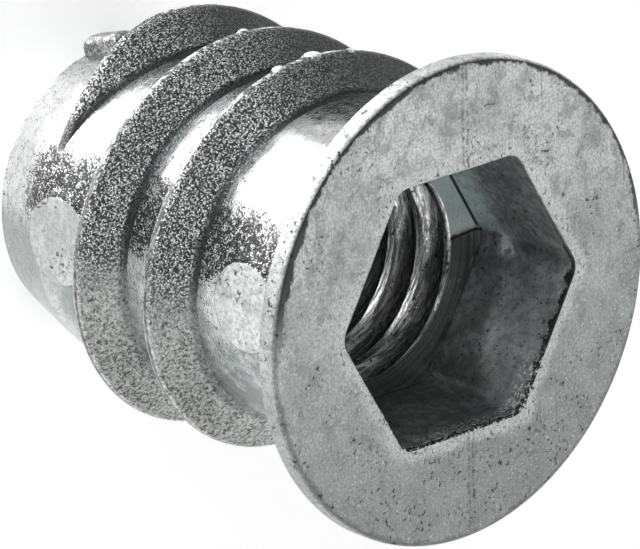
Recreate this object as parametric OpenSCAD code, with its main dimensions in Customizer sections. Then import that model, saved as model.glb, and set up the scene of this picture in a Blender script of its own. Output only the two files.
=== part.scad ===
// Flanged threaded insert for wood, zinc alloy, one casting.
// The tail face lies on z = 0 and the axis is +Z, towards the flange.
// Millimetres throughout. The parting plane of the die is y = 0, and the
// ejector pads face -Y.

/* [Overall] */
// Length from the tail face to the flange face
overall_length = 16; // [10:0.5:30]

/* [Flange] */
// Flange diameter
flange_diameter = 15; // [12:0.1:22]
// Flange thickness at the rim
flange_thickness = 0.65; // [0.4:0.05:2]
// Radius of the flange's front edge
flange_edge_radius = 0.15; // [0.05:0.05:0.4]
// Fillet where the flange meets the body
flange_fillet = 0.5; // [0:0.1:1]

/* [Drive socket] */
// Hexagon socket, width across flats
socket_across_flats = 8.2; // [6:0.1:12]
// Depth of the hexagon socket
socket_depth = 4.15; // [2:0.05:8]
// Radius of the socket's upright corners
socket_corner_radius = 0.6; // [0.1:0.1:1.5]

/* [Screw thread] */
// Nominal diameter of the machine screw
screw_diameter = 8; // [5:0.5:12]
// Pitch of the machine screw thread
screw_pitch = 1.25; // [0.8:0.05:2]
// Chamfer where the bore opens into the socket
bore_top_chamfer = 0.05; // [0:0.05:0.6]
// Chamfer where the bore opens at the tail
bore_tail_chamfer = 0.35; // [0:0.05:0.8]

/* [Body] */
// Body diameter between the ridges
body_diameter = 10.3; // [8.5:0.1:14]
// Diameter of the tail face
tail_diameter = 8.8; // [7:0.1:12]
// Length of the tapered tail
tail_taper_length = 2.6; // [0:0.1:6]
// Rounding of the tail's outer edge
tail_edge_radius = 0.15; // [0:0.05:0.5]

/* [Wood thread] */
// Diameter over the ridge's crest
ridge_diameter = 12.7; // [11:0.1:18]
// Rise of the ridge in one turn
ridge_pitch = 3.2; // [2:0.1:5]
// Turns of the ridge, run-outs included
ridge_turns = 2.5; // [1:0.05:4]
// Width of the flat crest
ridge_land = 0.3; // [0.1:0.05:0.8]
// Axial width of the flank that faces the flange
flange_side_flank = 0.78; // [0.3:0.02:1.5]
// Axial width of the flank that faces the tail
tail_side_flank = 0.7; // [0.3:0.02:1.5]
// Height of the crest's tail-side edge where the ridge starts
ridge_start_height = 2.68; // [1:0.02:5]
// Angle about +Z where the ridge starts
ridge_start_angle = -116; // [-180:1:180]
// Arc over which the ridge rises from the body
ridge_run_in = 62; // [20:1:120]
// Arc over which the ridge dies away near the flange
ridge_run_out = 62; // [20:1:120]
// Hand of the ridge: -1 left hand, 1 right hand
ridge_hand = -1; // [-1, 1]

/* [Casting marks] */
// Diameter of the two ejector pads
pad_diameter = 2.8; // [1:0.1:4]
// Distance of the pads' flats from the axis
pad_distance = 5.22; // [5:0.01:5.6]
// Height of the pad near the tail
pad_tail_height = 3.75; // [1:0.05:8]
// Height of the pad near the flange
pad_flange_height = 12.2; // [8:0.05:15]
// Distance of the gate stub's outer corner from the axis, at the tail face
gate_distance = 4.88; // [4.6:0.02:6]
// Width of the gate stub
gate_width = 0.9; // [0.4:0.05:2]
// Length of the gate stub up the taper
gate_length = 1.6; // [0.5:0.1:3]

/* [Hidden] */
// Radii and other sizes that follow from the ones above
flange_r = flange_diameter / 2;
body_r = body_diameter / 2;
tail_r = tail_diameter / 2;
crest_r = ridge_diameter / 2;
// Minor radius of an ISO metric nut thread
bore_r = (screw_diameter - 1.0825 * screw_pitch) / 2;
socket_floor = overall_length - socket_depth;
under_flange = overall_length - flange_thickness;
// The ridge is swept in equal steps
ridge_step = 6;
ridge_steps = round(ridge_turns * 360 / ridge_step);
// The ridge's foot lies inside the body
foot_depth = 0.35;
foot_r = body_r - foot_depth;
$fn = 96;

insert();

// An arc of points from angle a0 to a1 about [cx, cy]
function arc(cx, cy, r, a0, a1, n = 5) =
    [for (i = [0:n]) let (a = a0 + (a1 - a0) * i / n) [cx + r * cos(a), cy + r * sin(a)]];

// Smooth step from 0 to 1
function ease(t) = t <= 0 ? 0 : t >= 1 ? 1 : t * t * (3 - 2 * t);

// How far the ridge has risen, 0 to 1, at arc s from its start
function rise(s) =
    min(ease(s / ridge_run_in), ease((ridge_turns * 360 - s) / ridge_run_out));

// The ridge's section at arc s: foot, crest, crest, foot
function ridge_section(s) =
    let (
        k = rise(s),
        r = foot_r + foot_depth * 0.6 + (crest_r - foot_r - foot_depth * 0.6) * k,
        f = (r - foot_r) / (crest_r - body_r),
        z = ridge_start_height + ridge_pitch * s / 360,
        a = ridge_start_angle + ridge_hand * s
    )
    [for (p = [
        [foot_r - 0.3, z - tail_side_flank * f],
        [r, z],
        [r, z + ridge_land],
        [foot_r - 0.3, z + ridge_land + flange_side_flank * f]
    ]) [p[0] * cos(a), p[0] * sin(a), p[1]]];

// The faces of a solid swept through steps + 1 sections of four points each:
// two triangles for each side of each step, and two at each end
function swept_faces(steps, forward) =
    let (
        last = 4 * steps,
        sides = [for (i = [0:steps - 1]) for (j = [0:3]) for (t = [0, 1])
            let (a = 4 * i + j, b = 4 * i + (j + 1) % 4)
            t == 0 ? [a, b, b + 4] : [a, b + 4, a + 4]],
        ends = [[2, 1, 0], [3, 2, 0], [last, last + 1, last + 2], [last, last + 2, last + 3]],
        all = concat(sides, ends)
    )
    forward ? all : [for (f = all) [f[2], f[1], f[0]]];

// The wood thread: one coarse ridge wound round the body
module wood_thread() {
    points = [for (i = [0:ridge_steps]) for (p = ridge_section(i * ridge_step)) p];
    polyhedron(points = points, faces = swept_faces(ridge_steps, ridge_hand > 0), convexity = 8);
}

// The turned outline of the tail, the body and the flange
module turned_body() {
    e = flange_edge_radius;
    g = tail_edge_radius;
    rotate_extrude()
        polygon(concat(
            [[0, 0]],
            arc(tail_r - g, g, g, -90, -15, 4),
            [[body_r, tail_taper_length]],
            arc(body_r + flange_fillet, under_flange - flange_fillet, flange_fillet, 180, 90, 5),
            [[flange_r - 0.06, under_flange], [flange_r, under_flange + 0.06]],
            arc(flange_r - e, overall_length - e, e, 0, 90, 5),
            [[0, overall_length]]
        ));
}

// Two flat pads where the ejector pins pushed
module ejector_pads() {
    for (h = [pad_tail_height, pad_flange_height])
        translate([0, 0, h])
            rotate([90, 0, 0])
                translate([0, 0, 4.3])
                    cylinder(d = pad_diameter, h = pad_distance - 4.3, $fn = 40);
}

// The stub that the broken gate left on the parting line at the tail. Its
// outer face follows the taper.
module gate_stub() {
    taper_angle = atan((body_r - tail_r) / tail_taper_length);
    translate([-gate_distance, -gate_width, 0])
        rotate([0, -taper_angle, 0])
            cube([0.9, gate_width, gate_length]);
}

// The hexagon socket, its flats facing +X and -X and its corners rounded
module drive_socket() {
    centre = (socket_across_flats / 2 - socket_corner_radius) / cos(30);
    translate([0, 0, socket_floor])
        linear_extrude(socket_depth + 1)
            polygon([for (i = [0:5]) each
                arc(centre * cos(60 * i + 30), centre * sin(60 * i + 30),
                    socket_corner_radius, 60 * i, 60 * i + 60, 4)]);
}

// The plain bore of the machine screw thread, chamfered at both ends
module screw_bore() {
    translate([0, 0, -1]) cylinder(r = bore_r, h = overall_length + 1);
    if (bore_top_chamfer > 0)
        translate([0, 0, socket_floor - bore_top_chamfer])
            cylinder(r1 = bore_r, r2 = bore_r + bore_top_chamfer + 0.01, h = bore_top_chamfer + 0.01);
    if (bore_tail_chamfer > 0)
        translate([0, 0, -0.01])
            cylinder(r1 = bore_r + bore_tail_chamfer + 0.01, r2 = bore_r, h = bore_tail_chamfer + 0.01);
}

module insert() {
    color("silver")
        difference() {
            union() {
                turned_body();
                wood_thread();
                ejector_pads();
                gate_stub();
            }
            drive_socket();
            screw_bore();
        }
}
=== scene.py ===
"""A die-cast threaded insert for wood, dressed for the camera: the casting in full detail, its
finishes, a pale studio floor and soft lamps. It stands on its tail face, its flange upwards."""

import math

import bmesh
import bpy
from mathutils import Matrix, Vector


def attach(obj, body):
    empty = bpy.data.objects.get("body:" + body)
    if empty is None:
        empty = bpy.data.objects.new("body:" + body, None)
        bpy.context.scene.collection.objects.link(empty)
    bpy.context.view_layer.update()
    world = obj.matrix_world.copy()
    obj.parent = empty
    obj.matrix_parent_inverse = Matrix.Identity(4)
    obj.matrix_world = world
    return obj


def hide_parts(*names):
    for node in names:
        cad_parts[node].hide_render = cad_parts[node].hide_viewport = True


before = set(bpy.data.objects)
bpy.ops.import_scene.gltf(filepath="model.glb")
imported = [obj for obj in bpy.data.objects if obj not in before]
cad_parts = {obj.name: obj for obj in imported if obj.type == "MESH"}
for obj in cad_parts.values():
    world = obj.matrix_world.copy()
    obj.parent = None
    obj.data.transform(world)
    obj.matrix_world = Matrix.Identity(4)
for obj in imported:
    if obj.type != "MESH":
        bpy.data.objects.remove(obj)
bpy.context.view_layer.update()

# ---------------------------------------------------------------- sizes, in metres
MM = 0.001
LENGTH = 16 * MM
FLANGE_R = 7.5 * MM
FLANGE_UNDER = LENGTH - 0.65 * MM
FLANGE_FILLET = 0.5 * MM
EDGE = 0.15 * MM
BODY_R = 5.15 * MM
TAIL_R = 4.4 * MM
TAPER = 2.6 * MM

SOCKET_FLATS = 8.2 * MM
SOCKET_FLOOR = 11.85 * MM
SOCKET_CORNER_R = 0.6 * MM
SOCKET_MOUTH_R = 0.05 * MM
BORE_R = 3.3234 * MM
SCREW_R = 4.0 * MM
SCREW_PITCH = 1.25 * MM

CREST_R = 6.35 * MM
RIDGE_PITCH = 3.2 * MM
RIDGE_TURNS = 2.5
RIDGE_START = 2.68 * MM
RIDGE_LAND = 0.3 * MM
RIDGE_STEPS = 360
BURIED_R = 5.12 * MM

PAD_FLAT = 5.22 * MM
PAD_HEIGHTS = (3.75 * MM, 12.2 * MM)
STUB_SIZE = (0.9 * MM, 0.9 * MM, 1.6 * MM)
STUB_CORNER = (-4.88 * MM, -0.45 * MM, 0)
# each bead's angle about the axis in degrees, its height, and its size across
BEADS = (
    (-180, 6.5 * MM, 0.36 * MM),
    (-167.5, 9.62 * MM, 0.42 * MM),
    (-179, 9.72 * MM, 0.60 * MM),
    (169, 9.92 * MM, 0.30 * MM),
)

# angles in degrees: where the ridge starts, its run at either end, and the turn of the pads
RIDGE_START_ANGLE = -116
RUN_IN = 62
DIE_TURN = 2.7

# points closer than this are one
WELD = 0.0005 * MM


# ---------------------------------------------------------------- bench tools
def clear_bench():
    """Leaves nothing selected, so that the next tool touches only what it is given."""
    if bpy.context.mode != "OBJECT":
        bpy.ops.object.mode_set(mode="OBJECT")
    bpy.ops.object.select_all(action="DESELECT")


def take(piece):
    """Picks one piece up."""
    clear_bench()
    piece.select_set(True)
    bpy.context.view_layer.objects.active = piece


def open_up(piece):
    """Starts work on a piece's points and faces, none of them picked."""
    take(piece)
    bpy.ops.object.mode_set(mode="EDIT")
    bpy.ops.mesh.select_all(action="DESELECT")


def pick_points(piece, wanted):
    """Picks the points of an opened piece where wanted(x, y, z) holds."""
    bpy.ops.mesh.select_mode(type="VERT")
    mesh = bmesh.from_edit_mesh(piece.data)
    for point in mesh.verts:
        point.select = bool(wanted(*point.co))
    mesh.select_flush(True)
    mesh.select_flush(False)
    bmesh.update_edit_mesh(piece.data)


def pick_edges(piece, wanted):
    """Picks the edges of an opened piece where wanted(edge) holds."""
    bpy.ops.mesh.select_mode(type="EDGE")
    mesh = bmesh.from_edit_mesh(piece.data)
    for edge in mesh.edges:
        edge.select = bool(wanted(edge))
    bmesh.update_edit_mesh(piece.data)


def slide(x=0, y=0, z=0):
    """Moves what is picked."""
    bpy.ops.transform.translate(value=(x, y, z))


def stretch(x, y, z, about):
    """Scales what is picked about a point."""
    bpy.ops.transform.resize(value=(x, y, z), center_override=about)


def draw_out(x=0, y=0, z=0):
    """Extrudes what is picked."""
    bpy.ops.mesh.extrude_region_move(TRANSFORM_OT_translate={"value": (x, y, z)})


def settle(piece):
    """Turns every face outwards and puts the piece's place into its mesh."""
    take(piece)
    bpy.ops.object.transform_apply(location=True, rotation=True, scale=True)
    bpy.ops.object.mode_set(mode="EDIT")
    bpy.ops.mesh.select_all(action="SELECT")
    bpy.ops.mesh.remove_doubles(threshold=WELD)
    bpy.ops.mesh.normals_make_consistent(inside=False)
    bpy.ops.object.mode_set(mode="OBJECT")
    return piece


def turn_on_lathe(name, outline, sides):
    """A turned solid: a disc raised and widened along outline, a list of (radius, height)."""
    clear_bench()
    radius, height = outline[0]
    bpy.ops.mesh.primitive_circle_add(
        vertices=sides, radius=radius, fill_type="NGON", location=(0, 0, height)
    )
    piece = bpy.context.object
    piece.name = name
    open_up(piece)
    bpy.ops.mesh.select_all(action="SELECT")
    for (r0, z0), (r1, z1) in zip(outline, outline[1:]):
        draw_out(z=z1 - z0)
        stretch(r1 / r0, r1 / r0, 1, (0, 0, z1))
    return settle(piece)


def quarter(r, z, size, start, end, steps):
    """Stations round an edge: an arc of the given size about (r, z), angles in degrees."""
    turns = [math.radians(start + (end - start) * i / steps) for i in range(steps + 1)]
    return [(r + size * math.cos(a), z + size * math.sin(a)) for a in turns]


def stations(r0, z0, r1, z1, steps):
    """Stations along a straight stretch, its two ends left out."""
    return [(r0 + (r1 - r0) * i / steps, z0 + (z1 - z0) * i / steps) for i in range(1, steps)]


def section(name, inner, outer, width, height):
    """Opens a flat section out along +X, to be shaped and then wound about the axis."""
    clear_bench()
    bpy.ops.mesh.primitive_plane_add(size=1, rotation=(math.pi / 2, 0, 0))
    piece = bpy.context.object
    piece.name = name
    piece.scale = (outer - inner, width, 1)
    piece.location = ((outer + inner) / 2, 0, height)
    bpy.ops.object.transform_apply(location=True, rotation=True, scale=True)
    open_up(piece)
    return piece


def carry_in(piece, reach, width, height, steps):
    """Carries a section's inner edge towards the axis. Each step is the radius it gets to, and
    how much wider it is there."""
    for r, wider in steps:
        pick_points(piece, lambda x, y, z, at=reach: x < at + 0.004 * MM)
        draw_out(x=r - reach)
        stretch(1, 1, (width + wider) / width, (r, 0, height))
        reach = r
        width += wider


def wind(piece, turns, pitch, steps):
    """Sweeps a section's outline left-handed up the axis and closes both of its ends."""
    open_up(piece)
    bpy.ops.mesh.select_all(action="SELECT")
    bpy.ops.mesh.dissolve_faces()
    take(piece)
    sweep = piece.modifiers.new("wind", "SCREW")
    sweep.axis = "Z"
    sweep.angle = -2 * math.pi * turns
    sweep.screw_offset = pitch * turns
    sweep.steps = sweep.render_steps = steps
    sweep.use_normal_calculate = True
    bpy.ops.object.modifier_apply(modifier=sweep.name)
    heights = [point.co.z for point in piece.data.vertices]
    halfway = (min(heights) + max(heights)) / 2
    for first in (True, False):
        open_up(piece)
        pick_edges(piece, lambda e: e.is_boundary and (e.verts[0].co.z < halfway) == first)
        bpy.ops.mesh.edge_face_add()
    bpy.ops.object.mode_set(mode="OBJECT")


def coat(piece, finish, other=None, where=None):
    """Gives a piece its finish, and the faces where where(face) holds another."""
    piece.data.materials.append(finish)
    if other:
        piece.data.materials.append(other)
        for face in piece.data.polygons:
            face.material_index = int(where(face))


def work_in(piece, other, operation):
    """Joins another solid to the piece, or cuts it away; the faces keep their finishes."""
    take(piece)
    step = piece.modifiers.new("work_in", "BOOLEAN")
    step.object = other
    step.operation = operation
    step.solver = "EXACT"
    step.material_mode = "TRANSFER"
    bpy.ops.object.modifier_apply(modifier=step.name)
    bpy.data.objects.remove(other)


# ---------------------------------------------------------------- finishes
class Finish:
    """A node material in the making, its patterns laid out in millimetres on the piece. Most of
    them are shares: 0 where something is absent, 1 where it is full."""

    def __init__(self, name):
        self.material = bpy.data.materials.new(name)
        self.material.use_nodes = True
        self.nodes = self.material.node_tree.nodes
        self.links = self.material.node_tree.links
        self.shader = self.nodes["Principled BSDF"]
        self.bare_metal(1.0)
        place = self.nodes.new("ShaderNodeTexCoord")
        self.mm = self.nodes.new("ShaderNodeMapping")
        self.mm.inputs["Scale"].default_value = (1000, 1000, 1000)
        self.links.new(place.outputs["Object"], self.mm.inputs["Vector"])

    def feed(self, socket, value):
        """Joins a pattern to a socket, or sets a plain value on it."""
        if hasattr(value, "is_output"):
            self.links.new(value, socket)
        else:
            socket.default_value = value

    # patterns
    def noise(self, per_mm, detail=2.0, rough=0.5, stretch=(1, 1, 1)):
        """Cloudy noise, its clouds about 1 / per_mm across."""
        node = self.nodes.new("ShaderNodeTexNoise")
        node.inputs["Scale"].default_value = per_mm
        node.inputs["Detail"].default_value = detail
        node.inputs["Roughness"].default_value = rough
        where = self.mm.outputs["Vector"]
        if stretch != (1, 1, 1):
            scale = self.nodes.new("ShaderNodeMapping")
            scale.inputs["Scale"].default_value = stretch
            self.links.new(where, scale.inputs["Vector"])
            where = scale.outputs["Vector"]
        self.links.new(where, node.inputs["Vector"])
        return node.outputs["Fac"]

    def cells(self, per_mm):
        """How far a place is from the middle of its cell."""
        node = self.nodes.new("ShaderNodeTexVoronoi")
        node.inputs["Scale"].default_value = per_mm
        self.links.new(self.mm.outputs["Vector"], node.inputs["Vector"])
        return node.outputs["Distance"]

    def rings(self, per_mm):
        """Uneven rings about the axis."""
        out = self.nodes.new("ShaderNodeCombineXYZ")
        self.links.new(self.from_axis(), out.inputs["X"])
        node = self.nodes.new("ShaderNodeTexNoise")
        node.inputs["Scale"].default_value = per_mm
        self.links.new(out.outputs["Vector"], node.inputs["Vector"])
        return node.outputs["Fac"]

    # places
    def along(self, axis):
        """How far a place lies along an axis."""
        node = self.nodes.new("ShaderNodeSeparateXYZ")
        self.links.new(self.mm.outputs["Vector"], node.inputs["Vector"])
        return node.outputs[axis]

    def from_axis(self):
        """Distance from the insert's axis."""
        squares = [self.math("POWER", self.apart(self.along(axis)), 2.0) for axis in "XY"]
        return self.math("SQRT", self.plus(*squares))

    def from_hexagon(self):
        """Distance from the axis towards the nearest flat of the hexagon socket."""
        half = self.times(self.along("X"), 0.5)
        lean = self.times(self.along("Y"), math.sqrt(0.75))
        reaches = [self.along("X"), self.plus(half, lean), self.minus(half, lean)]
        return self.most(*[self.apart(reach) for reach in reaches])

    def facing(self, angle):
        """How squarely a place on the round faces angle: the cosine of what lies between."""
        turned = math.radians(angle)
        x = self.times(self.along("X"), math.cos(turned))
        out = self.plus(x, self.times(self.along("Y"), math.sin(turned)))
        return self.math("DIVIDE", out, self.from_axis())

    # sums
    def math(self, what, a, b=0.0):
        node = self.nodes.new("ShaderNodeMath")
        node.operation = what
        self.feed(node.inputs[0], a)
        self.feed(node.inputs[1], b)
        return node.outputs["Value"]

    def plus(self, a, b):
        return self.math("ADD", a, b)

    def minus(self, a, b):
        return self.math("SUBTRACT", a, b)

    def times(self, a, b):
        return self.math("MULTIPLY", a, b)

    def rest(self, share):
        """What a share leaves over."""
        return self.minus(1.0, share)

    def apart(self, value, mark=0.0):
        """How far a value is from a mark."""
        return self.math("ABSOLUTE", self.minus(value, mark) if mark else value)

    def uneven(self, value, by, per_mm, detail=2.0, rough=0.5):
        """A value with noise laid over it, so that what follows it strays."""
        return self.plus(value, self.times(self.noise(per_mm, detail, rough), by))

    def level(self, value, low, high, to_low=0.0, to_high=1.0):
        """A soft step from to_low to to_high while the value goes from low to high."""
        node = self.nodes.new("ShaderNodeMapRange")
        node.interpolation_type = "SMOOTHSTEP"
        ends = {"From Min": low, "From Max": high, "To Min": to_low, "To Max": to_high}
        for socket, number in ends.items():
            node.inputs[socket].default_value = number
        self.links.new(value, node.inputs["Value"])
        return node.outputs["Result"]

    def both(self, first, *others):
        """The share where all of the given patterns hold."""
        for other in others:
            first = self.times(first, other)
        return first

    def most(self, first, *others):
        """The largest of the given patterns."""
        for other in others:
            first = self.math("MAXIMUM", first, other)
        return first

    def mix(self, share, one, other):
        """One colour, giving way to the other where share is full."""
        node = self.nodes.new("ShaderNodeMix")
        node.data_type = "RGBA"
        self.feed(node.inputs[0], share)
        self.feed(node.inputs[6], one if hasattr(one, "is_output") else (*one, 1))
        self.feed(node.inputs[7], other if hasattr(other, "is_output") else (*other, 1))
        return node.outputs[2]

    # what the shader gets
    def colour(self, value):
        self.feed(self.shader.inputs["Base Color"], value)

    def roughness(self, value):
        self.feed(self.shader.inputs["Roughness"], value)

    def bare_metal(self, value):
        self.feed(self.shader.inputs["Metallic"], value)

    def bump(self, relief, depth_mm):
        node = self.nodes.new("ShaderNodeBump")
        node.inputs["Strength"].default_value = 1.0
        node.inputs["Distance"].default_value = depth_mm * MM
        self.links.new(relief, node.inputs["Height"])
        self.links.new(node.outputs["Normal"], self.shader.inputs["Normal"])


def bright_skin():
    """The chilled, bright skin of the casting. It has painted shade on two sides, where it also turns
    grainy and dull, painted shade on its low side and on the tail's low side and far edge, and is
    paler on the tail's taper."""
    f = Finish("bright_skin")
    broad = f.level(f.noise(0.5), 0.36, 0.66)
    tone = f.mix(broad, (0.78, 0.795, 0.79), (0.58, 0.60, 0.595))
    on_tail = f.level(f.along("Z"), 2.9, 2.2)
    tone = f.mix(f.times(on_tail, 0.8), tone, (0.80, 0.81, 0.805))
    # painted shade on the low side facing -60 degrees above the taper, broken up by noise
    low_side = f.both(f.level(f.facing(-60), 0.90, 0.985), f.level(f.along("Z"), 2.5, 4.3))
    stains_and_painted_shade = f.both(low_side, f.level(f.noise(1.1, 4.0, 0.7), 0.64, 0.44, 0.25, 0.9))
    tone = f.mix(stains_and_painted_shade, tone, (0.25, 0.295, 0.29))
    # painted shade on the tail's low side, facing -60 degrees
    under = f.both(f.level(f.facing(-60), 0.74, 0.90), on_tail)
    tone = f.mix(f.times(under, 0.9), tone, (0.355, 0.375, 0.37))
    streaks = f.level(f.noise(2.4, 3.0, 0.6, stretch=(1, 1, 6)), 0.42, 0.7, 0.0, 0.3)
    tone = f.mix(streaks, tone, (0.24, 0.255, 0.25))
    film = f.level(f.noise(3.2, 4.0, 0.75), 0.44, 0.62, 0.0, 0.35)
    tone = f.mix(film, tone, (0.28, 0.29, 0.285))
    # painted shade: a dark strip facing -111 degrees and a dark far shoulder, where the grain's dark
    # specks gather, as they also do at the bottom end
    painted_shade_strip_facing = f.level(f.uneven(f.facing(-111), 0.07, 0.9, 3.0, 0.6), 0.99, 1.03)
    painted_shade_strip = f.both(painted_shade_strip_facing, f.level(f.along("Z"), 1.2, 2.2))
    painted_shade_far_side = f.level(f.uneven(f.facing(165), 0.2, 0.9, 3.0, 0.6), 0.92, 1.05)
    painted_shade_shoulder = f.both(painted_shade_far_side, f.level(f.along("Z"), 1.4, 2.6, 0.75, 1.0))
    dull = f.most(painted_shade_strip, painted_shade_shoulder, f.level(f.along("Z"), 0.4, 0.1, 0.0, 0.5))
    # painted shade along the tail's edge facing -179 degrees, where dark specks also gather
    painted_shade_tail_edge = f.both(f.level(f.facing(-179), 0.86, 0.97), on_tail)
    tone = f.mix(f.times(painted_shade_tail_edge, 0.5), tone, (0.36, 0.375, 0.37))
    # painted shade on the far shoulder, deeper above the taper
    above = f.level(f.along("Z"), 2.3, 3.2, 0.25, 0.85)
    tone = f.mix(f.times(painted_shade_shoulder, above), tone, (0.19, 0.205, 0.20))
    frost = f.plus(f.times(f.noise(17, 2.0, 0.6), 0.7), f.times(f.noise(5), 0.3))
    spread = f.plus(f.times(dull, 0.10), f.times(painted_shade_strip, 0.057))
    spread = f.plus(spread, f.times(painted_shade_tail_edge, 0.06))
    grain_and_painted_shade_specks = f.level(f.plus(frost, spread), 0.59, 0.615, 0.0, 0.95)
    deepest = f.most(painted_shade_strip, f.rest(broad))
    dark = f.mix(deepest, (0.12, 0.128, 0.126), (0.02, 0.022, 0.022))
    f.colour(f.mix(grain_and_painted_shade_specks, tone, dark))
    f.roughness(f.plus(f.times(dull, 0.10), 0.11))
    grainy = f.most(f.level(f.noise(0.6, 1.0), 0.46, 0.62), dull)
    fine = f.times(frost, f.plus(f.times(grainy, 0.75), 0.25))
    f.bump(f.plus(fine, f.times(f.noise(2.2, 1.0), 0.3)), 0.042)
    return f.material


def pressed_pad():
    """The flats that the ejector pins left: pale, mottled and pitted, the tail's one darker."""
    f = Finish("pressed_pad")
    tone = f.mix(f.level(f.noise(1.3), 0.4, 0.6), (0.86, 0.875, 0.87), (0.64, 0.655, 0.65))
    tone = f.mix(f.level(f.along("Z"), 6.0, 5.0, 0.0, 0.4), tone, (0.52, 0.535, 0.53))
    mottle = f.level(f.noise(7, 4.0, 0.8), 0.42, 0.62, 0.0, 0.75)
    tone = f.mix(mottle, tone, (0.40, 0.41, 0.41))
    pits = f.both(f.level(f.noise(6, 2.0, 0.6), 0.58, 0.64), f.level(f.noise(1.0), 0.45, 0.6))
    f.colour(f.mix(pits, tone, (0.14, 0.145, 0.145)))
    f.roughness(f.level(f.noise(5), 0.3, 0.7, 0.26, 0.38))
    f.bump(f.minus(f.noise(8, 3.0, 0.6), pits), 0.025)
    return f.material


def orange_peel():
    """The coarse, frosted flanks of the ridge, with painted light on the side facing -121 degrees and
    painted shade away from it, smooth and darkened by painted shade along their foot, and crusted low
    down.
    """
    f = Finish("orange_peel")
    grain = f.plus(f.times(f.rest(f.cells(15)), 0.35), f.times(f.noise(15, 3.0, 0.65), 0.65))
    # painted light and shade: the grain's peaks are bright on the side facing -121 degrees and fall to
    # a dark tone away from it and on the far top
    painted_shade_tone = (0.13, 0.14, 0.138)
    light = f.mix(f.level(f.facing(-121), 0.18, 0.88), painted_shade_tone, (0.97, 0.995, 0.995))
    painted_shade_far_top = f.both(f.level(f.along("Z"), 8.6, 9.4), f.level(f.facing(170), 0.75, 0.98))
    light = f.mix(f.times(painted_shade_far_top, 0.6), light, painted_shade_tone)
    tone = f.mix(f.level(grain, 0.43, 0.595), (0.07, 0.075, 0.075), light)
    crusted = f.level(f.uneven(f.facing(-45), 0.3, 0.8), 0.74, 0.96)
    mottle = f.level(f.noise(9, 5.0, 0.8), 0.42, 0.58)
    crust = f.mix(mottle, (0.86, 0.88, 0.86), (0.46, 0.475, 0.46))
    tone = f.mix(f.times(crusted, 0.9), tone, crust)
    fine = f.both(f.level(f.noise(10, 4.0, 0.75), 0.53, 0.57), f.level(f.noise(2.2, 3.0), 0.34, 0.50))
    coarse = f.both(f.level(f.noise(4.5, 5.0, 0.8), 0.55, 0.59), f.level(f.facing(-40), 0.70, 0.95))
    tone = f.mix(f.times(f.most(fine, coarse), 0.85), tone, (0.08, 0.078, 0.074))
    # painted shade along the ridge's foot, which the bump also leaves smooth
    foot = f.level(f.uneven(f.from_axis(), 0.16, 1.2), 5.46, 5.34)
    painted_foot_shade = f.times(foot, f.minus(0.75, f.times(crusted, 0.3)))
    f.colour(f.mix(painted_foot_shade, tone, (0.13, 0.145, 0.145)))
    f.roughness(f.plus(f.level(grain, 0.4, 0.7, 0.30, 0.17), f.times(crusted, 0.25)))
    coarseness = f.level(f.noise(0.55), 0.36, 0.6, 0.6, 1.0)
    f.bump(f.both(grain, coarseness, f.rest(f.times(f.most(foot, crusted), 0.9))), 0.12)
    return f.material


def worn_and_painted_lit_crest():
    """The narrow crest of the ridge, with painted light on its side facing -75 degrees and darker
    elsewhere, and its bright beads.
    """
    f = Finish("worn_and_painted_lit_crest")
    grain = f.noise(3.5, 4.0, 0.65)
    # painted highlight: the crest is bright on its side facing -75 degrees and dark away from it
    painted_highlight = f.mix(f.level(f.facing(-75), 0.35, 0.8), (0.95, 0.96, 0.96), (0.36, 0.355, 0.345))
    tone = f.mix(f.level(grain, 0.44, 0.60), (0.13, 0.135, 0.135), painted_highlight)
    beads = f.level(f.from_axis(), 6.36, 6.40)
    f.colour(f.mix(beads, tone, (0.97, 0.975, 0.975)))
    f.roughness(f.plus(f.level(grain, 0.3, 0.7, 0.22, 0.40), f.times(beads, 0.4)))
    f.bump(grain, 0.05)
    return f.material


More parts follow.
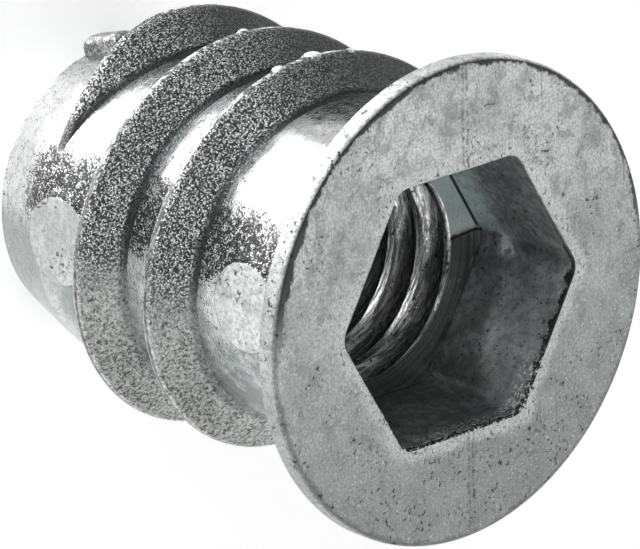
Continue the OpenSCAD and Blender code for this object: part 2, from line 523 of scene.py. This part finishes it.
def satin_flange():
    """The satin face of the flange: mottled and pricked, its rim and the socket's edge worn, with
    painted light that pales it towards -X and a painted dark line inside its rim.
    """
    f = Finish("satin_flange")
    # painted light: the face is pale towards -X and darkens towards +X
    across = f.plus(f.along("X"), f.times(f.along("Y"), 0.15))
    tone = f.mix(f.level(across, -10, 8), (0.97, 0.985, 0.98), (0.37, 0.385, 0.38))
    broad = f.level(f.noise(0.45, 3.0, 0.6), 0.40, 0.62, 0.0, 0.5)
    tone = f.mix(broad, tone, (0.40, 0.45, 0.44))
    cloud = f.level(f.noise(1.7, 4.0, 0.75), 0.46, 0.64, 0.0, 0.68)
    tone = f.mix(cloud, tone, (0.33, 0.345, 0.34))
    edge = f.from_hexagon()
    worn = f.level(f.uneven(edge, 0.6, 1.5, 3.0, 0.6), 4.95, 4.6, 0.0, 0.65)
    tone = f.mix(worn, tone, (0.86, 0.87, 0.865))
    grain = f.level(f.noise(11, 4.0, 0.85), 0.44, 0.60, 0.0, 0.66)
    tone = f.mix(grain, tone, (0.27, 0.285, 0.28))
    glints = f.level(f.noise(9, 2.0, 0.7), 0.58, 0.68, 0.0, 0.4)
    tone = f.mix(glints, tone, (0.95, 0.96, 0.955))
    # small dark spots, in clusters, by the edges and low down
    clusters = f.level(f.noise(0.8, 3.0), 0.50, 0.62)
    by_rim = f.level(f.from_axis(), 6.9, 7.3)
    where = f.most(clusters, f.level(edge, 4.9, 4.2), by_rim, f.level(across, 1.5, 5.0))
    spots = f.both(f.level(f.noise(6.5, 3.0, 0.65), 0.585, 0.63), f.level(f.noise(1.3), 0.42, 0.58))
    stains_and_painted_shade = f.both(spots, where)
    tone = f.mix(stains_and_painted_shade, tone, (0.08, 0.084, 0.084))
    # painted shade: the ragged dark line inside the rim, heaviest where the flange faces -109 degrees
    # and towards -X
    heavy = f.level(f.facing(-109), 0.955, 0.985, 0.0, 0.18)
    ragged = f.plus(f.uneven(f.from_axis(), 0.7, 1.4, 4.0, 0.75), heavy)
    line = f.both(f.level(ragged, 7.60, 7.70), f.level(f.from_axis(), 7.46, 7.40))
    line = f.both(line, f.level(f.along("X"), 0.2, -2.2, 0.3, 0.92))
    tone = f.mix(line, tone, (0.04, 0.042, 0.042))
    # the die's two broken seam lines
    strayed = f.uneven(f.along("Y"), 0.14, 4, 3.0, 0.7)
    broken = f.level(f.noise(4.5, 4.0, 0.75), 0.44, 0.56, 0.0, 0.75)
    for place in (0.27, 0.43):
        seam = f.level(f.apart(strayed, place), 0.09, 0.01)
        tone = f.mix(f.both(seam, broken), tone, (0.16, 0.17, 0.17))
    scratches = f.level(f.noise(0.9, stretch=(0.4, 11, 1)), 0.71, 0.75, 0.0, 0.6)
    f.colour(f.mix(scratches, tone, (0.2, 0.21, 0.21)))
    f.roughness(f.level(f.noise(1.6, 3.0), 0.3, 0.7, 0.36, 0.48))
    f.bump(f.minus(f.noise(11, 3.0, 0.75), stains_and_painted_shade), 0.028)
    return f.material


def socket_wall():
    """The dull, drawn walls and floor of the hexagon socket: with painted shade in its crevice and on
    its +X walls, a painted pool of light and a painted highlight, scraped at its mouth, and turned on
    its floor."""
    f = Finish("socket_wall")
    patches = f.level(f.noise(0.75, 3.0, 0.6), 0.38, 0.62)
    tone = f.mix(patches, (0.80, 0.84, 0.835), (0.52, 0.54, 0.545))
    mottle = f.level(f.noise(4, 4.0, 0.7), 0.42, 0.62, 0.0, 0.65)
    tone = f.mix(mottle, tone, (0.27, 0.28, 0.285))
    # the floor's turned arcs, and a painted pool of light, pale on the walls and brightest on the
    # floor, in the corner away from them
    on_floor = f.level(f.along("Z"), 12.05, 11.9)
    bent = f.uneven(f.along("X"), 0.3, 2.5, 3.0, 0.6)
    painted_light_patch = f.both(f.level(bent, 0.0, -0.25), f.level(f.uneven(f.along("Y"), 1.0, 1.2, 3.0), 0.8, 2.4))
    arcs = f.mix(f.level(f.rings(4), 0.40, 0.58), (0.13, 0.135, 0.135), (0.30, 0.31, 0.31))
    tone = f.mix(f.times(f.both(on_floor, f.rest(painted_light_patch)), 0.9), tone, arcs)
    # painted light, pale and greenish, on the patch's lower walls
    painted_wall_light = f.both(painted_light_patch, f.level(f.uneven(f.along("Z"), 1.0, 1.0), 13.9, 13.3))
    tone = f.mix(f.times(painted_wall_light, 0.85), tone, (0.82, 0.96, 0.94))
    painted_wall_light_mottle = f.level(f.noise(3.5, 4.0, 0.75), 0.45, 0.62, 0.0, 0.45)
    tone = f.mix(f.both(painted_wall_light, painted_wall_light_mottle), tone, (0.36, 0.45, 0.44))
    # painted shade: the walls darker towards +X
    tone = f.mix(f.level(f.along("X"), 2.6, 3.8, 0.0, 0.5), tone, (0.16, 0.165, 0.165))
    # painted shade high on the walls on the +X side
    dimmed = f.both(f.level(f.along("Z"), 13.2, 15.8, 0.0, 0.5), f.level(f.along("X"), 0.2, 0.8))
    tone = f.mix(dimmed, tone, (0.24, 0.25, 0.255))
    spots = f.level(f.noise(6, 3.0, 0.6), 0.62, 0.67, 0.0, 0.8)
    tone = f.mix(spots, tone, (0.08, 0.085, 0.085))
    # painted light on the patch's floor, brightest towards its +X edge
    lit = f.both(painted_light_patch, f.level(f.along("Z"), 12.0, 11.9, 0.0, 0.75))
    brighter = f.mix(f.level(f.along("X"), -1.1, -0.4), (0.66, 0.80, 0.78), (0.97, 1.0, 1.0))
    tone = f.mix(lit, tone, brighter)
    # painted shade in a crevice round the painted pool of light, and a thin dark line across the floor
    at_wall = f.level(f.from_hexagon(), 4.02, 4.06)
    crevice = f.both(at_wall, f.level(f.along("Z"), 11.94, 11.9), painted_light_patch)
    thin_dark_floor_line = f.both(on_floor, f.level(f.apart(bent), 0.07, 0.02))
    tone = f.mix(f.most(crevice, thin_dark_floor_line), tone, (0.04, 0.042, 0.042))
    # the mouth: scraped, with dark crumbs, and chipped bright on its lower side
    scrapes = f.level(f.noise(5, 3.0, 0.6, stretch=(1, 1, 3)), 0.57, 0.63)
    scraped = f.both(scrapes, f.level(f.along("Z"), 15.2, 15.9))
    tone = f.mix(scraped, tone, (0.90, 0.91, 0.91))
    depth = f.uneven(f.along("Z"), 0.9, 2.2, 4.0, 0.8)
    crumbs = f.both(f.level(depth, 16.22, 16.30), f.level(f.along("X"), -2.4, 0.5))
    tone = f.mix(crumbs, tone, (0.05, 0.052, 0.052))
    # a painted highlight halfway down the +Y corner
    at_corner = f.both(f.level(f.along("Y"), 4.25, 4.5), f.level(f.apart(f.along("X")), 0.5, 0.2))
    half_down = f.level(f.apart(f.along("Z"), 13.1), 0.55, 0.15)
    painted_highlight = f.both(at_corner, half_down, f.level(f.noise(4, 4.0, 0.7), 0.40, 0.52))
    tone = f.mix(painted_highlight, tone, (0.97, 0.98, 0.98))
    low_mouth = f.both(f.level(f.along("X"), 2.0, 3.2), f.level(f.along("Z"), 15.1, 15.5))
    chips = f.both(f.level(f.noise(7, 4.0, 0.8, stretch=(1, 1, 1.6)), 0.52, 0.57), low_mouth)
    f.colour(f.mix(chips, tone, (0.97, 0.98, 0.98)))
    f.roughness(f.level(f.noise(2.5), 0.3, 0.7, 0.38, 0.54))
    # less metal where the pool of light and the highlight are painted, so that the lamps light them
    # more
    less_metal_where_painted_light = f.plus(f.times(painted_light_patch, 0.3), f.times(painted_wall_light, 0.45))
    f.bare_metal(f.rest(f.most(less_metal_where_painted_light, painted_highlight)))
    f.bump(f.minus(f.noise(9, 3.0, 0.7), f.times(crumbs, 1.2)), 0.03)
    return f.material


def cut_thread():
    """The tapped screw thread, with the tap's drag marks along it and painted shade deeper in its
    grooves.
    """
    f = Finish("cut_thread")
    marks = f.noise(1.4, 4.0, 0.7, stretch=(1, 1, 12))
    tone = f.mix(f.level(marks, 0.42, 0.58), (0.92, 0.93, 0.93), (0.22, 0.225, 0.225))
    # painted shade, darker deeper in the grooves
    groove = f.level(f.plus(f.from_axis(), f.times(marks, 0.2)), 3.52, 3.70, 0.0, 0.75)
    tone = f.mix(groove, tone, (0.14, 0.143, 0.145))
    spots = f.level(f.noise(5, 3.0, 0.6), 0.60, 0.66)
    f.colour(f.mix(spots, tone, (0.08, 0.084, 0.084)))
    f.roughness(f.level(marks, 0.3, 0.7, 0.16, 0.30))
    f.bump(f.plus(marks, f.times(f.noise(7), 0.4)), 0.022)
    return f.material


# ---------------------------------------------------------------- the casting
def blank():
    """The turned outline of tail, body and flange, with its edges rounded as cast."""
    fillet = FLANGE_FILLET
    back_edge = 0.07 * MM
    outline = [(2.5 * MM, 0), (TAIL_R - 0.22 * MM, 0)]
    outline += quarter(TAIL_R - EDGE, EDGE, EDGE, -90, -16, 5)
    r0, z0 = outline[-1]
    outline += stations(r0, z0, BODY_R, TAPER, 7)
    outline += [(BODY_R, TAPER + 0.12 * MM)]
    outline += stations(BODY_R, TAPER + 0.12 * MM, BODY_R, FLANGE_UNDER - fillet, 26)
    outline += quarter(BODY_R + fillet, FLANGE_UNDER - fillet, fillet, 180, 90, 8)
    outline += [(BODY_R + fillet + 0.1 * MM, FLANGE_UNDER), (FLANGE_R - 0.16 * MM, FLANGE_UNDER)]
    outline += quarter(FLANGE_R - back_edge, FLANGE_UNDER + back_edge, back_edge, -90, 0, 3)
    outline += [(FLANGE_R, FLANGE_UNDER + 0.12 * MM), (FLANGE_R, LENGTH - EDGE - 0.04 * MM)]
    outline += quarter(FLANGE_R - EDGE, LENGTH - EDGE, EDGE, 0, 90, 6)
    outline += [(FLANGE_R - EDGE - 0.06 * MM, LENGTH), (6.3 * MM, LENGTH), (5.2 * MM, LENGTH)]
    return turn_on_lathe("insert_casting", outline, 192)


def ridge():
    """The coarse wood thread: one section with a narrow crest and a filleted foot, wound
    left-handed round the body and sunk into it at both ends."""
    foot, low, high = 5.273 * MM, -0.628 * MM, 1.011 * MM
    width = high - low
    middle = (high + low) / 2
    piece = section("ridge", foot, CREST_R, width, middle)
    # the crest: narrowed to its land, then its two corners rounded
    pick_points(piece, lambda x, y, z: x > CREST_R - 0.01 * MM)
    shrink = RIDGE_LAND / width
    stretch(1, 1, shrink, (CREST_R, 0, 0))
    slide(z=-low * shrink)
    bpy.ops.mesh.bevel(affect="VERTICES", offset=0.12 * MM, segments=6, profile=0.5)
    # the foot: flared into a fillet, then carried down inside the body
    flare = ((5.20 * MM, 0.16 * MM), (5.08 * MM, 0.24 * MM), (4.7 * MM, 0))
    carry_in(piece, foot, width, middle, flare)
    bpy.ops.object.mode_set(mode="OBJECT")
    take(piece)
    piece.location.z = RIDGE_START
    bpy.ops.object.transform_apply(location=True)
    wind(piece, RIDGE_TURNS, RIDGE_PITCH, RIDGE_STEPS)
    sink_ends(piece)
    piece.rotation_euler.z = math.radians(RIDGE_START_ANGLE)
    return settle(piece)


def ease(t):
    """A soft step from 0 to 1."""
    t = min(max(t, 0), 1)
    return t * t * (3 - 2 * t)


def sink_ends(piece):
    """Draws the ridge's first and last rings in towards the axis until the crest is buried."""
    open_up(piece)
    whole = RIDGE_TURNS * 360
    arc = whole / RIDGE_STEPS
    count = round(RUN_IN / arc)
    buried = BURIED_R / CREST_R
    for i in list(range(count)) + list(range(RIDGE_STEPS - count + 1, RIDGE_STEPS + 1)):
        swept = i * arc
        share = ease(min(swept, whole - swept) / RUN_IN)
        pull = buried + (1 - buried) * share
        angle = math.radians(-swept)
        level = RIDGE_START + 0.2 * MM + RIDGE_PITCH * swept / 360

        def on_ring(x, y, z):
            off = math.atan2(y, x) - angle
            near = abs(math.atan2(math.sin(off), math.cos(off))) < math.radians(arc / 2)
            return near and abs(z - level) < 1.55 * MM

        pick_points(piece, on_ring)
        stretch(pull, pull, 1, (0, 0, 0))
    bpy.ops.object.mode_set(mode="OBJECT")


def ejector_pad(height):
    """A flat round pad with a filleted foot. It faces -Y, turned with the die."""
    edge = 0.06 * MM
    outline = [(1.75 * MM, 4.3 * MM), (1.62 * MM, 4.86 * MM), (1.52 * MM, 4.95 * MM)]
    outline += [(1.45 * MM, 5.02 * MM), (1.415 * MM, 5.09 * MM), (1.4 * MM, PAD_FLAT - edge)]
    outline += quarter(1.34 * MM, PAD_FLAT - edge, edge, 0, 90, 4)[1:]
    outline += [(1.28 * MM, PAD_FLAT), (0.6 * MM, PAD_FLAT)]
    piece = turn_on_lathe("pad", outline, 96)
    piece.rotation_euler = (math.pi / 2, 0, math.radians(-DIE_TURN))
    piece.location.z = height
    return settle(piece)


def crest_beads():
    """Four small burrs on the ridge's crest, rubbed to bright beads."""
    beads = []
    for angle, height, size in BEADS:
        turned = math.radians(angle)
        out = CREST_R - 0.25 * size
        place = (out * math.cos(turned), out * math.sin(turned), height)
        clear_bench()
        bpy.ops.mesh.primitive_uv_sphere_add(
            segments=20, ring_count=12, radius=size / 2, location=place
        )
        bead = bpy.context.object
        open_up(bead)
        bpy.ops.mesh.select_all(action="SELECT")
        stretch(0.8, 1.3, 1, place)
        beads.append(settle(bead))
    clear_bench()
    for bead in beads:
        bead.select_set(True)
    bpy.context.view_layer.objects.active = beads[0]
    bpy.ops.object.join()
    beads[0].name = "crest_beads"
    return beads[0]


def gate_stub():
    """What the broken gate left on the parting line at the tail. It leans with the taper."""
    clear_bench()
    tilt = math.atan((BODY_R - TAIL_R) / TAPER)
    bpy.ops.mesh.primitive_cube_add(size=1, rotation=(0, -tilt, 0))
    piece = bpy.context.object
    piece.name = "gate_stub"
    piece.scale = STUB_SIZE
    middle = Vector((STUB_SIZE[0] / 2, 0, STUB_SIZE[2] / 2))
    middle.rotate(piece.rotation_euler)
    piece.location = Vector(STUB_CORNER) + middle
    bpy.ops.object.transform_apply(location=True, rotation=True, scale=True)
    open_up(piece)
    pick_points(piece, lambda x, y, z: x < -4.5 * MM)
    bpy.ops.mesh.bevel(offset=0.30 * MM, segments=6, affect="EDGES")
    return settle(piece)


def socket_cutter():
    """The shape of the hexagon socket, its flats facing +X and -X and its mouth rounded."""
    clear_bench()
    half = SOCKET_FLATS / 2
    top = LENGTH - SOCKET_MOUTH_R
    bpy.ops.mesh.primitive_cylinder_add(
        vertices=6,
        radius=half / math.cos(math.pi / 6),
        depth=top - SOCKET_FLOOR,
        location=(0, 0, (top + SOCKET_FLOOR) / 2),
    )
    piece = bpy.context.object
    piece.name = "socket_cutter"
    bpy.ops.object.transform_apply(location=True)
    open_up(piece)
    # the upright corners, then the edge round the floor
    pick_edges(piece, lambda e: abs(e.verts[0].co.z - e.verts[1].co.z) > 1 * MM)
    bpy.ops.mesh.bevel(offset=SOCKET_CORNER_R * math.tan(math.pi / 6), segments=5, affect="EDGES")
    pick_edges(piece, lambda e: max(p.co.z for p in e.verts) < SOCKET_FLOOR + 0.01 * MM)
    bpy.ops.mesh.bevel(offset=0.06 * MM, segments=2, affect="EDGES")
    # the mouth: the top face widened upwards in five steps of a quarter round
    bpy.ops.mesh.select_mode(type="FACE")
    mesh = bmesh.from_edit_mesh(piece.data)
    for face in mesh.faces:
        face.select = face.normal.z > 0.9
    bmesh.update_edit_mesh(piece.data)
    wide, level = half, top
    for step in range(1, 6):
        turned = math.radians(18 * step)
        reach = half + SOCKET_MOUTH_R * (1 - math.cos(turned))
        rise = top + SOCKET_MOUTH_R * math.sin(turned) - level
        draw_out(z=rise)
        level += rise
        stretch(reach / wide, reach / wide, 1, (0, 0, level))
        wide = reach
    draw_out(z=0.5 * MM)
    return settle(piece)


def drill():
    """The plain bore, countersunk at the tail and broken at its edge in the socket."""
    outline = [(BORE_R + 0.85 * MM, -0.5 * MM), (BORE_R, 0.35 * MM)]
    outline += [(BORE_R, SOCKET_FLOOR - 0.12 * MM), (BORE_R + 0.03 * MM, SOCKET_FLOOR - 0.05 * MM)]
    outline += [(BORE_R + 0.1 * MM, SOCKET_FLOOR), (BORE_R + 0.1 * MM, SOCKET_FLOOR + 0.3 * MM)]
    return turn_on_lathe("drill", outline, 192)


def tap():
    """What the tap takes out of the bore: a left-handed groove, narrow at its root and flared
    where it opens, so that the crests are eased."""
    flank = 3.40 * MM
    first = -2.26 * MM
    mouth = 2 * (SCREW_PITCH / 16 + (SCREW_R - flank) * math.tan(math.pi / 6))
    groove = section("tap", flank, SCREW_R, mouth, first)
    pick_points(groove, lambda x, y, z: x > SCREW_R - 0.01 * MM)
    stretch(1, 1, SCREW_PITCH / 8 / mouth, (0, 0, first))
    flare = ((3.335 * MM, 0.10 * MM), (3.30 * MM, 0.10 * MM), (3.1 * MM, 0))
    carry_in(groove, flank, mouth, first, flare)
    wind(groove, 13, SCREW_PITCH, 13 * 96)
    return settle(groove)


def casting():
    """The whole insert, worked together out of its forms."""
    skin, crest = bright_skin(), worn_and_painted_lit_crest()
    pressed, peel = pressed_pad(), orange_peel()
    flange, socket, screw = satin_flange(), socket_wall(), cut_thread()
    piece = blank()
    coat(piece, skin, flange, lambda face: face.center.z > FLANGE_UNDER - 0.01 * MM)
    coil = ridge()
    coat(coil, peel, crest, lambda face: face.center.xy.length > CREST_R - 0.006 * MM)
    work_in(piece, coil, "UNION")
    for height in PAD_HEIGHTS:
        pad = ejector_pad(height)
        coat(pad, skin, pressed, lambda face: face.normal.y < -0.97)
        work_in(piece, pad, "UNION")
    for part, finish in ((crest_beads(), crest), (gate_stub(), skin)):
        coat(part, finish)
        work_in(piece, part, "UNION")
    for cutter, finish in ((socket_cutter(), socket), (drill(), screw), (tap(), screw)):
        coat(cutter, finish)
        work_in(piece, cutter, "DIFFERENCE")
    return piece


def finish_casting(piece):
    """Cleans the joined mesh, sets where its shading breaks, and ties it to the frame."""
    take(piece)
    bpy.ops.object.mode_set(mode="EDIT")
    bpy.ops.mesh.select_all(action="SELECT")
    bpy.ops.mesh.remove_doubles(threshold=2 * WELD)
    bpy.ops.mesh.dissolve_degenerate(threshold=2 * WELD)
    bpy.ops.mesh.normals_make_consistent(inside=False)
    bpy.ops.object.mode_set(mode="OBJECT")
    bpy.ops.object.shade_smooth_by_angle(angle=math.radians(32))
    weigh = piece.modifiers.new("weigh_normals", "WEIGHTED_NORMAL")
    weigh.mode = "FACE_AREA"
    weigh.keep_sharp = True
    bpy.ops.object.modifier_apply(modifier=weigh.name)
    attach(piece, "root")
    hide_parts("insert")


# ---------------------------------------------------------------- floor, lamps and camera
def studio_table():
    """The pale table, with a low rim a long way off so that no edge shows from the side. It
    glows a little where the camera or the metal looks at it, which keeps it near white."""
    clear_bench()
    bpy.ops.mesh.primitive_circle_add(vertices=96, radius=0.5, fill_type="NGON")
    table = bpy.context.object
    table.name = "studio_table"
    open_up(table)
    pick_points(table, lambda x, y, z: True)
    bpy.ops.mesh.select_mode(type="FACE")
    bpy.ops.mesh.inset(thickness=0.02)
    bpy.ops.mesh.select_all(action="SELECT")
    pick_points(table, lambda x, y, z: math.hypot(x, y) > 0.49)
    for rise, wider in ((0.01, 1.03), (0.02, 1.02), (0.03, 1.01), (0.06, 1.0)):
        draw_out(z=rise)
        stretch(wider, wider, 1, (0, 0, 0))
    bpy.ops.object.mode_set(mode="OBJECT")
    f = Finish("table_paper")
    f.bare_metal(0.0)
    f.colour(f.mix(f.level(f.noise(0.05), 0.4, 0.6), (0.93, 0.93, 0.93), (0.95, 0.95, 0.95)))
    f.roughness(0.9)
    ray = f.nodes.new("ShaderNodeLightPath").outputs
    seen = f.most(ray["Is Camera Ray"], ray["Is Glossy Ray"], ray["Is Transmission Ray"])
    f.shader.inputs["Emission Color"].default_value = (1, 1, 1, 1)
    f.feed(f.shader.inputs["Emission Strength"], f.times(seen, 0.58))
    table.data.materials.append(f.material)
    table.visible_shadow = False


def soft_lamp(name, azimuth, elevation, distance, size, level):
    """A square soft box that looks at the insert's middle; level is how bright its sheet is. One
    below the table shines up through it, because the table casts no shadow."""
    a, e = math.radians(azimuth), math.radians(elevation)
    away = Vector((math.cos(e) * math.cos(a), math.cos(e) * math.sin(a), math.sin(e)))
    light = bpy.data.lights.new(name, "AREA")
    light.cycles.use_multiple_importance_sampling = elevation > 0
    light.shape = "SQUARE"
    light.size = size
    light.energy = level * math.pi * size * size
    lamp = bpy.data.objects.new(name, light)
    bpy.context.scene.collection.objects.link(lamp)
    lamp.location = Vector((0, 0, LENGTH / 2)) + away * distance
    lamp.rotation_euler = away.to_track_quat("Z", "Y").to_euler()


def lights():
    """Four soft boxes in a dim room."""
    soft_lamp("side_box", -145, 22, 0.4, 0.25, 2.6)
    soft_lamp("back_box", 62, 45, 0.4, 0.30, 1.24)
    soft_lamp("top_box", -28, 52, 0.35, 0.20, 1.5)
    soft_lamp("table_box", -159, -52, 0.3, 0.20, 6.0)
    world = bpy.data.worlds.new("studio_room")
    bpy.context.scene.world = world
    world.use_nodes = True
    room = world.node_tree.nodes["Background"].inputs
    room["Color"].default_value = (0.15, 0.15, 0.152, 1)
    room["Strength"].default_value = 1.0


def camera():
    """A long lens, a little over a quarter of a metre away, that looks down into the socket."""
    view = bpy.data.cameras.new("camera")
    view.sensor_width = 36
    view.lens = 506.25
    view.clip_start = 0.01
    eye = bpy.data.objects.new("camera", view)
    bpy.context.scene.collection.objects.link(eye)
    eye.location = (-0.09047, -0.17039, 0.20073)
    eye.rotation_euler = [math.radians(a) for a in (-18.456, -42.174, 88.294)]
    bpy.context.scene.camera = eye


piece = casting()
finish_casting(piece)
studio_table()
lights()
camera()
bpy.context.scene.view_settings.view_transform = "Standard"
